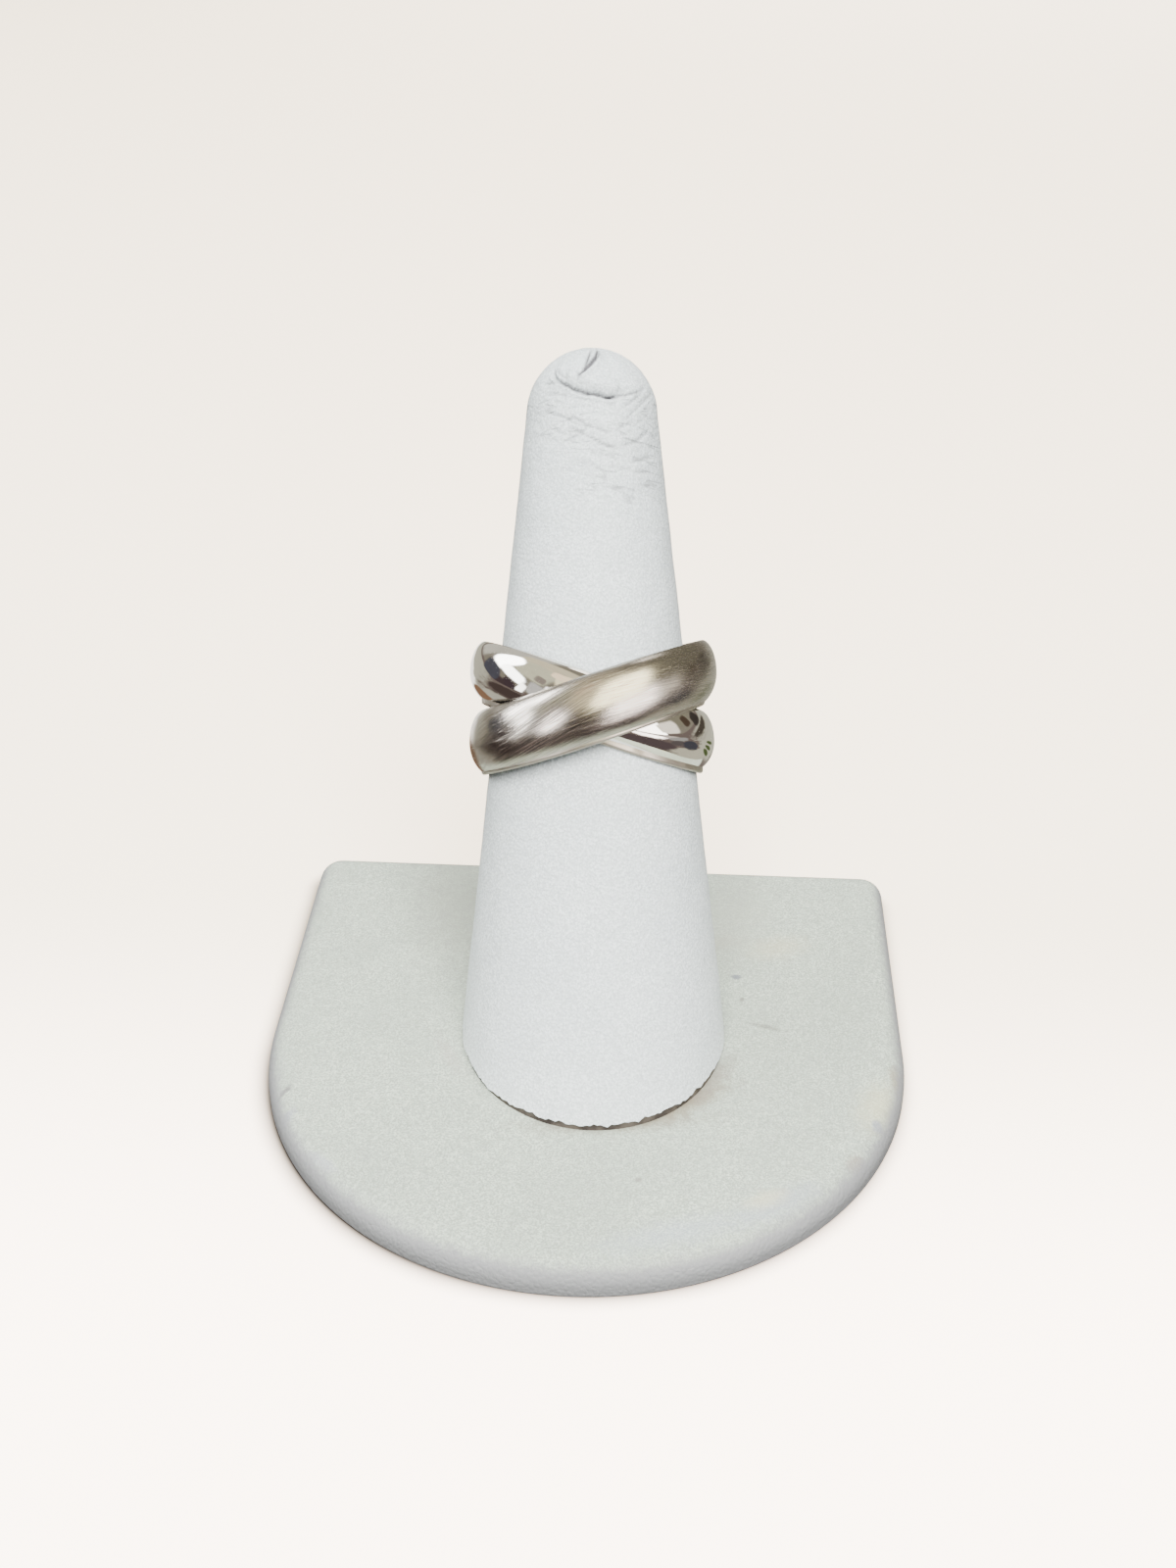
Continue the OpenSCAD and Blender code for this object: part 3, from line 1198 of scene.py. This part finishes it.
@dataclass
class Studio:
    """Floor, lights, mirror cards and camera. Lengths are in millimetres and angles in degrees."""

    target: Vector
    plate: tuple[float, float, float, float, float]
    floor_size: float = 3000.0
    floor_fade: Pair = (-38.0, 26.0)
    floor_paints: tuple[Colour, Colour] = ((0.79, 0.72, 0.64), (0.81, 0.74, 0.66))
    floor_front: Colour = (6.6, 5.2, 4.2)
    floor_back: Colour = (2.5, 1.9, 1.2)
    floor_shade: float = 1.9
    shade_start: float = -0.4
    shade_curve: float = 0.6
    shade_shift: float = -0.35
    shade_lift: float = 0.2
    backdrop_r: float = 1450.0
    backdrop_tone: Colour = (3.4, 2.9, 2.4)
    sky_low: Colour = (0.12, 0.115, 0.11)
    sky_high: Colour = (0.52, 0.555, 0.55)
    table_size: float = 3000.0
    table_over: float = 0.05
    table_wander: Pair = (14.0, 0.9)
    room_r: float = 1400.0
    focal_px: float = 1969.3
    long_side_px: float = 1600.0
    sensor: float = 36.0
    shift_px: Pair = (-2.35, 37.5)
    clip: Pair = (0.005, 20.0)
    camera_place: tuple[float, float, float] = (6.1, -137.9, 112.7)
    camera_yaw: float = 2.537
    camera_pitch: float = 32.617
    camera_roll: float = 0.634

    # Scale and strength of what makes a card's edge and its tone uneven
    CARD_EDGE = (2.5, 0.35)
    CARD_TONE = (4.0, 0.8)

    def build(self, lights: Iterable[Card], cards: Iterable[Card]) -> None:
        """Builds the whole studio.

        Args:
            lights: cards that give light.
            cards: panels that only the metal mirrors.
        """
        self.floor()
        self.backdrop()
        self.world()
        for light in lights:
            self.light(light)
        for card in cards:
            self.card(card)
        self.table(TABLE, PATCHES)
        self.room(ROOM)
        self.camera()

    def floor(self) -> None:
        """Lays the pale floor: it brightens towards the front, and a contact shadow close to the stand is painted
        into it.
        """
        deselect()
        bpy.ops.mesh.primitive_plane_add(size=self.floor_size * MM, location=(0, 0, 0))
        obj = bpy.context.object
        obj.name = "floor"
        obj.visible_diffuse = obj.visible_glossy = False
        n = Node("pale_floor")
        place = n.place()
        depth = n.axes(place)
        paint = n.mix(n.noise(place, 6.0), *self.floor_paints)
        front, back = (side * MM for side in self.floor_fade)
        glow = n.mix(n.ramp(depth["Y"], front, back), self.floor_front, self.floor_back)
        # Painted contact shadow: the floor's glow and colour darken close to the plate
        outside = n.ramp(self.outside(n, depth), self.shade_start * MM, self.floor_shade * MM)
        shade = n.math("POWER", outside, self.shade_curve)
        n.feed(Base_Color=n.mix(shade, BLACK, paint), Emission_Color=n.mix(shade, BLACK, glow))
        n.set(Emission_Strength=1.0, Roughness=0.9, Specular_IOR_Level=0.1)
        n.material.cycles.emission_sampling = "NONE"
        obj.data.materials.append(n.material)

    def backdrop(self) -> None:
        """Puts a pale shell far round the floor, which only the camera sees."""
        obj = self.shell("backdrop", self.backdrop_r, 24, self.backdrop_tone)
        obj.visible_diffuse = obj.visible_glossy = obj.visible_shadow = False

    def outside(self, n: Node, place: bpy.types.NodeOutputs) -> Socket:
        """Measures how far a place of the floor lies outside the plate, shifted and lifted to shape the painted
        contact shadow.

        Args:
            n: the material's wiring.
            place: the place's coordinates one by one.

        Returns:
            The distance's socket, in metres.
        """
        half_w, front, back, corner, wide_y = (side * MM for side in self.plate)
        across = n.math("ABSOLUTE", n.math("SUBTRACT", place["X"], self.shade_shift * MM))
        behind = n.math("SUBTRACT", place["Y"], wide_y)
        ahead = n.math("MULTIPLY", n.math("MINIMUM", behind, 0.0), half_w / front)
        oval = n.math("SUBTRACT", self.diagonal(n, across, ahead), half_w)
        beside = n.math("MAXIMUM", n.math("SUBTRACT", across, half_w - corner), 0.0)
        past = n.math("MAXIMUM", n.math("SUBTRACT", behind, back - corner), 0.0)
        distance = n.math("MAXIMUM", oval, n.math("SUBTRACT", self.diagonal(n, beside, past), corner))
        return n.math("ADD", distance, n.ramp(across, 0.0, 0.6 * half_w, (self.shade_lift * MM, 0.0)))

    @staticmethod
    def diagonal(n: Node, first: Socket, second: Socket) -> Socket:
        """Measures how far a place lies away, from its distances along two directions."""
        squares = (n.math("POWER", n.math("ABSOLUTE", side), 2.0) for side in (first, second))
        return n.math("SQRT", n.math("ADD", *squares))

    def world(self) -> None:
        """Fills the room with even light from above, and little from below."""
        world = bpy.data.worlds.new("room")
        n = Node("room", world)
        height = n.axes(n.add("ShaderNodeTexCoord").outputs["Generated"])["Z"]
        n.feed(Color=n.mix(n.ramp(height, -0.1, 0.2), self.sky_low, self.sky_high))
        bpy.context.scene.world = world

    def light(self, card: Card) -> None:
        """Adds an area light.

        Args:
            card: its place, size, colour and power.
        """
        data = bpy.data.lights.new(card.name, "AREA")
        data.shape = "RECTANGLE"
        data.size, data.size_y = (side * MM for side in card.size())
        data.energy, data.color = card.power, card.colour
        obj = bpy.data.objects.new(card.name, data)
        obj.visible_glossy = False
        bpy.context.scene.collection.objects.link(obj)
        obj.matrix_world = card.place(self.target)

    def card(self, card: Card) -> None:
        """Adds a panel with a soft uneven edge.

        Args:
            card: its place, size, colour and power.
        """
        wide, high = card.size()
        obj = self.panel(card.name, card.place(self.target) @ Matrix.Diagonal((wide * MM, high * MM, 1, 1)))
        n = Node(card.name)
        place = n.place()
        reach = n.math("ADD", self.squared(n, place), self.ragged(n, place, *self.CARD_EDGE))
        self.glow(n, card.colour, card.power)
        n.feed(Emission_Color=n.mix(self.ragged(n, place, *self.CARD_TONE), card.colour, dim(card.colour, 0.5)),
               Alpha=n.math("POWER", n.ramp(reach, 1 - card.soft, 1.05, (1.0, 0.0)), 1.5))
        obj.data.materials.append(n.material)

    def room(self, tone: Colour) -> None:
        """Puts the dim room round the stand that the metal mirrors.

        Args:
            tone: the room's colour.
        """
        self.only_mirrored(self.shell("room", self.room_r, 16, tone))

    def shell(self, name: str, radius: float, rings: int, tone: Colour) -> bpy.types.Object:
        """Puts a glowing shell round the floor.

        Args:
            name: its name.
            radius: its radius.
            rings: how many rings of faces it has.
            tone: its colour.

        Returns:
            The shell.
        """
        deselect()
        bpy.ops.mesh.primitive_uv_sphere_add(segments=2 * rings, ring_count=rings, radius=radius * MM)
        obj = bpy.context.object
        obj.name = name
        n = Node(name)
        self.glow(n, tone)
        obj.data.materials.append(n.material)
        return obj

    def table(self, tone: Colour, patches: Iterable[Patch]) -> None:
        """Lays the table top that the metal mirrors round the plate.

        Args:
            tone: the table's colour.
            patches: what lies on it.
        """
        obj = self.panel("table", Matrix.Translation((0, 0, self.table_over * MM)))
        take(obj)
        bpy.ops.transform.resize(value=(self.table_size * MM,) * 3)
        bpy.ops.object.transform_apply(location=False, rotation=False, scale=True)
        n = Node("table")
        place = n.place()
        grain, amount = self.table_wander
        ragged = self.ragged(n, place, 1 / (grain * MM), amount)
        colour = tone
        for patch in patches:
            reach = self.reach(n, place, [v * MM for v in patch.place], [v * MM for v in patch.size])
            colour = n.mix(n.ramp(n.math("ADD", reach, ragged), 0.95, 1.3, (1.0, 0.0)), colour, patch.colour)
        self.glow(n, BLACK)
        n.feed(Emission_Color=colour)
        obj.data.materials.append(n.material)

    @staticmethod
    def reach(n: Node, place: Socket, middle: Sequence[float], size: Sequence[float]) -> Socket:
        """Measures how far a place lies from an oval's middle, as a share of the oval's half sides.

        Args:
            n: the material's wiring.
            place: object coordinates.
            middle: the oval's middle.
            size: its half width and half height.

        Returns:
            The distance's socket, 1 on the oval.
        """
        return n.length(n.mapped(place, Scale=(1 / size[0], 1 / size[1], 0),
                                 Location=(-middle[0] / size[0], -middle[1] / size[1], 0)))

    @staticmethod
    def squared(n: Node, place: Socket) -> Socket:
        """Measures how far a place lies from the middle of a panel with round corners.

        Args:
            n: the material's wiring.
            place: object coordinates.

        Returns:
            The distance's socket, 1 on the panel's edge.
        """
        axes = n.axes(place)
        sides = (n.math("POWER", n.math("ABSOLUTE", axes[axis]), 4.0) for axis in "XY")
        return n.math("MULTIPLY", n.math("POWER", n.math("ADD", *sides), 0.25), 2.0)

    @staticmethod
    def ragged(n: Node, place: Socket, scale: float, amount: float) -> Socket:
        """Gives an uneven value round zero.

        Args:
            n: the material's wiring.
            place: object coordinates.
            scale: the unevenness's scale.
            amount: its strength.

        Returns:
            The value's socket.
        """
        return n.math("MULTIPLY", n.math("SUBTRACT", n.noise(place, scale, Detail=3.0), 0.5), amount)

    @staticmethod
    def panel(name: str, place: Matrix) -> bpy.types.Object:
        """Adds a flat square that only mirrors see.

        Args:
            name: its name.
            place: its matrix, which turns a square of one metre into the panel.

        Returns:
            The panel.
        """
        deselect()
        bpy.ops.mesh.primitive_plane_add(size=1.0)
        obj = bpy.context.object
        obj.name = name
        obj.matrix_world = place
        return Studio.only_mirrored(obj)

    @staticmethod
    def only_mirrored(obj: bpy.types.Object) -> bpy.types.Object:
        """Shows an object of the studio to mirrors alone.

        Args:
            obj: the object.

        Returns:
            The same object.
        """
        obj.visible_camera = obj.visible_diffuse = obj.visible_shadow = False
        return obj

    @staticmethod
    def glow(n: Node, tone: Colour, power: float = 1.0) -> None:
        """Makes a material that shows one even tone, and isn't sampled as a light.

        Args:
            n: the material's wiring.
            tone: the tone.
            power: its strength.
        """
        n.material.cycles.emission_sampling = "NONE"
        n.set(Base_Color=(*BLACK, 1), Roughness=1.0, Specular_IOR_Level=0.0, Emission_Color=(*tone, 1),
              Emission_Strength=power)

    def camera(self) -> None:
        """Stands the camera where the photograph was taken."""
        data = bpy.data.cameras.new("camera")
        data.sensor_width = self.sensor
        data.lens = self.focal_px / self.long_side_px * self.sensor
        data.shift_x, data.shift_y = (shift / self.long_side_px for shift in self.shift_px)
        data.clip_start, data.clip_end = self.clip
        obj = bpy.data.objects.new("camera", data)
        bpy.context.scene.collection.objects.link(obj)
        turn = (Matrix.Rotation(math.radians(self.camera_yaw), 4, "Z")
                @ Matrix.Rotation(math.radians(90 - self.camera_pitch), 4, "X")
                @ Matrix.Rotation(math.radians(self.camera_roll), 4, "Z"))
        obj.matrix_world = Matrix.Translation(Vector(self.camera_place) * MM) @ turn
        bpy.context.scene.camera = obj


FINGER_FINISH = LeatherFinish(
    "white_cover_finger", tone=(0.78, 0.815, 0.815), shade=(0.72, 0.76, 0.765), grain=0.27, lean=29.0,
    gathers=(
        Mark((3.0, 18.5, 50.0), (5.5, 6.0, 4.2), BLACK, 0.55, -8, 0.7),
        Mark((-3.5, 20.0, 52.0), (3.0, 4.0, 2.0), BLACK, 0.5, 12, 0.7),
    ),
    marks=(
        Mark((0.6, 24.3, 43.5), (0.3, 0.3, 0.3), (0.10, 0.07, 0.05), 0.9),
        Mark((-5.2, 26.6, 47.6), (1.6, 1.2, 1.0), (0.60, 0.50, 0.30), 0.55, soft=0.8),
    ))
PLATE_FINISH = LeatherFinish(
    "white_cover_plate", tone=(0.54, 0.59, 0.485), shade=(0.465, 0.51, 0.425), grain=0.33, roughness=0.48,
    rim_shade_share=0.95, speckle=0.9,
    marks=(
        Mark((-25.8, -11.6, 2.6), (0.28, 0.9, 1.0), (0.14, 0.13, 0.13), 0.8, -35),
        Mark((-25.0, -14.6, 2.6), (0.5, 0.9, 1.0), (0.26, 0.26, 0.32), 0.5, -35),
        Mark((-21.0, -20.0, 2.4), (1.6, 0.5, 1.5), (0.34, 0.34, 0.40), 0.45, -40),
        Mark((13.5, 7.1, 3.0), (0.42, 0.36, 0.5), (0.09, 0.09, 0.14), 0.7),
        Mark((14.0, 3.7, 3.0), (0.2, 0.35, 0.5), (0.16, 0.14, 0.12), 0.6),
        Mark((16.2, -0.2, 3.0), (1.3, 0.3, 0.5), (0.16, 0.15, 0.13), 0.6, -18, 0.8),
        Mark((11.5, 12.5, 3.0), (2.6, 1.0, 0.6), (0.34, 0.31, 0.24), 0.45, 10, 0.9),
        Mark((17.5, 12.0, 3.0), (2.4, 1.4, 0.6), (0.56, 0.50, 0.30), 0.35, 20, 0.9),
        Mark((27.3, -6.4, 2.2), (0.7, 1.5, 1.2), (0.26, 0.20, 0.12), 0.6),
        Mark((25.6, -10.4, 2.8), (1.6, 2.8, 1.5), (0.58, 0.53, 0.30), 0.45, -20, 0.8),
        Mark((25.2, -12.8, 2.6), (0.5, 0.6, 1.0), (0.20, 0.22, 0.30), 0.6),
        Mark((23.2, -17.4, 2.5), (0.8, 1.0, 1.2), (0.26, 0.20, 0.16), 0.55, -30),
        Mark((16.5, -22.8, 2.8), (3.4, 1.1, 1.5), (0.34, 0.36, 0.42), 0.45, 35, 0.8),
        Mark((15.6, -22.4, 2.8), (1.6, 0.8, 1.5), (0.62, 0.57, 0.34), 0.45, 30, 0.8),
        Mark((8.5, -26.5, 2.5), (5.0, 1.2, 1.5), (0.40, 0.43, 0.52), 0.35, 20, 0.9),
        # Darker brown round the front of the finger's foot: grime, with painted shadow under the cut edge
        Mark((3.0, -13.8, 3.0), (6.0, 1.1, 0.6), (0.22, 0.19, 0.14), 0.75, 8, 0.9),
        Mark((8.4, -11.3, 3.0), (4.2, 1.1, 0.6), (0.22, 0.18, 0.12), 0.9, 35, 0.9),
        Mark((11.2, -7.8, 3.0), (3.0, 0.9, 0.6), (0.24, 0.21, 0.17), 0.75, 60, 0.9),
        Mark((-12.0, -6.0, 3.0), (2.6, 0.6, 0.6), (0.36, 0.33, 0.29), 0.4, -62, 0.9),
        Mark((5.2, -20.8, 3.0), (0.28, 0.28, 0.5), (0.20, 0.17, 0.15), 0.55),
        # Painted shadows of the finger on the plate, to its left and right behind the foot
        Mark((-13.0, 17.0, 3.0), (4.2, 9.5, 0.8), (0.29, 0.30, 0.25), 0.75, 12, 0.9),
        Mark((13.2, 16.5, 3.0), (3.0, 6.5, 0.8), (0.34, 0.35, 0.29), 0.6, -10, 0.9),
    ))
# Tones of the glue line, near black to paint the shade in the gap under the cut edge
GLUE_AND_GAP_SHADE = ((0.02, 0.016, 0.014), (0.07, 0.058, 0.048))
BRUSHED_FINISH = MetalFinish("brushed_white_metal", (0.43, 0.395, 0.35), 0.20, Brushing.ALONG)
SATIN_FINISH = MetalFinish("satin_white_metal", (0.39, 0.355, 0.305), 0.34)
# Dark satin of the bore and the upper edge: partly the inside's own tone, partly painted shade along the upper edge
# where the band meets the finger
BORE_AND_EDGE_SHADE_FINISH = MetalFinish("bore_metal_with_edge_shade", (0.22, 0.20, 0.18), 0.3)
POLISHED_FINISH = MetalFinish("polished_white_metal", (0.80, 0.77, 0.71), 0.045)
LIGHTS = (
    Card("left_light", -100, 34, 36, 34, 600, (0.94, 1.0, 1.0), 2.4),
    Card("front_light", 10, 54, 44, 38, 600, (0.98, 1.0, 0.985), 13.8),
    Card("ceiling_light", 0, 88, 60, 60, 900, (0.98, 1.0, 0.975), 6.2),
    Card("back_light", 168, 15, 50, 30, 600, (0.99, 1.0, 0.985), 2.3),
)
CARDS = (
    Card("left_window", -104, 32, 28, 42, 400, (0.97, 0.98, 1.0), 13.0, -8),
    Card("mid_window", -82, 20, 34, 17, 395, (0.98, 0.99, 1.0), 9.0, -4),
    Card("low_window", -67, 5, 9, 26, 390, (1.0, 0.99, 0.98), 6.0, -10),
    Card("near_window", -35, 18, 21, 32, 380, (1.0, 0.95, 0.96), 9.0),
    Card("grey_wall", -53, 14, 18, 30, 400, (1.0, 0.98, 0.97), 0.9),
    Card("wall_frame", -53, 37, 12, 13, 380, (0.42, 0.36, 0.32)),
    Card("front_window", 31, 47, 60, 44, 400, (1.0, 0.94, 0.66), 8.5),
    Card("cream_front", -14, 52, 36, 44, 420, (1.0, 0.90, 0.62), 1.8),
    Card("right_window", 45, 8, 50, 36, 390, (1.0, 0.93, 0.91), 8.5, 0.0, 0.12),
    Card("dark_corner", 22, -1, 18, 9, 300, (0.16, 0.13, 0.125)),
    Card("right_wall", 76, 8, 34, 18, 400, (1.0, 0.93, 0.82), 1.8),
    Card("pale_left", -146, 34, 50, 78, 520, (0.93, 0.90, 0.80), 0.95),
    Card("cream_wall", -68, 46, 44, 40, 410, (0.95, 0.93, 0.70), 1.05),
    Card("cream_ceiling", -50, 76, 120, 36, 440, (1.0, 0.90, 0.66), 1.1),
    Card("lamp_glow", -34, 62, 18, 17, 390, (1.0, 0.80, 0.57), 2.0),
    Card("back_lamp", 158, 56, 16, 22, 400, (1.0, 0.96, 0.88), 4.0),
    Card("dark_left", -81, -6, 19, 38, 300, (0.08, 0.055, 0.065), 1.0, -6),
    Card("dark_left_low", -94, -8, 48, 28, 295, (0.085, 0.06, 0.065)),
    Card("dark_left_top", -106, 2, 30, 25, 290, (0.10, 0.10, 0.13)),
    Card("dark_front", -7, 5, 30, 52, 300, (0.115, 0.09, 0.085)),
    Card("dark_right", 130, 0, 24, 12, 300, (0.06, 0.05, 0.045)),
    Card("dark_vase", 109, 7, 14, 12, 300, (0.10, 0.07, 0.05)),
    Card("right_room", 116, 34, 104, 62, 500, (0.31, 0.29, 0.22)),
)
ROOM = (0.33, 0.30, 0.245)
TABLE = (0.22, 0.175, 0.16)
PATCHES = (
    Patch((0, 190), (300, 135), (0.70, 0.68, 0.56)),
    Patch((-38, 22), (15, 16), (0.66, 0.64, 0.54)),
    Patch((41, 8), (15, 26), (0.75, 0.72, 0.58)),
    Patch((48, 52), (26, 24), (0.75, 0.74, 0.60)),
    Patch((40, -44), (34, 32), (0.12, 0.09, 0.095)),
    Patch((-42, -60), (38, 36), (0.25, 0.205, 0.195)),
    Patch((200, -95), (75, 62), (0.95, 0.84, 0.78)),
    Patch((160, -20), (46, 36), (0.50, 0.49, 0.48)),
    Patch((118, -135), (50, 64), (7.0, 6.3, 6.2)),
    Patch((153, 129), (62, 62), (0.09, 0.075, 0.06)),
    Patch((-24, 84), (28, 34), (2.6, 2.5, 2.3)),
    Patch((-25, 43), (15, 13), (0.30, 0.175, 0.105)),
    Patch((-112, -8), (58, 40), (0.09, 0.065, 0.06)),
    Patch((92, -16), (24, 13), (0.14, 0.12, 0.12)),
    Patch((82, 12), (28, 14), (0.08, 0.08, 0.10)),
    Patch((40, 33), (8, 3.4), (0.10, 0.14, 0.05)),
    Patch((45, 42), (9, 3.4), (0.10, 0.14, 0.05)),
    Patch((49, 53), (10, 3.6), (0.10, 0.14, 0.05)),
)


def glue_and_gap_shade() -> bpy.types.Material:
    """Wires the dark line of old glue under the finger's cut edge, darkened further as painted shade in the gap.

    Returns:
        The material.
    """
    n = Node("glue_and_gap_shade")
    blotch = n.ramp(n.noise(n.place(), 1 / (1.5 * MM), Detail=3.0), 0.35, 0.65)
    n.feed(Base_Color=n.mix(blotch, *GLUE_AND_GAP_SHADE))
    n.set(Roughness=0.8)
    return n.material


def main() -> None:
    """Builds the pieces in order, then the studio."""
    logging.basicConfig(level=logging.INFO, format="%(name)s: %(message)s")
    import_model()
    wide_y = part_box("base_plate")[0].y / MM + PlateCover.front
    stand = Stand(wide_y)
    pieces = [
        PlateCover(wide_y).build(PLATE_FINISH),
        FingerCover(stand).build(FINGER_FINISH, glue_and_gap_shade()),
        Band("brushed_ring", "brushed_band", "brushed_metal", 0.0, stand, width=5.74, bend=0.14,
             low_rim=0.3, rim_t=0.34, low_end=56.0).build(BRUSHED_FINISH, SATIN_FINISH, BORE_AND_EDGE_SHADE_FINISH),
        Band("polished_ring", "polished_band", "polished_metal", 180.0, stand, width=5.6, rise=3.1, bend=0.0,
             low_end=52.0).build(POLISHED_FINISH, SATIN_FINISH, BORE_AND_EDGE_SHADE_FINISH),
    ]
    for piece in pieces:
        LOG.info("%s: %d faces", piece.name, len(piece.data.polygons))
    plate = (PlateCover.half_w, PlateCover.front, PlateCover.back, PlateCover.corner, wide_y)
    Studio(stand.on_axis(Vector(), Band.up) / MM, plate).build(LIGHTS, CARDS)


if __name__ == "__main__":
    main()
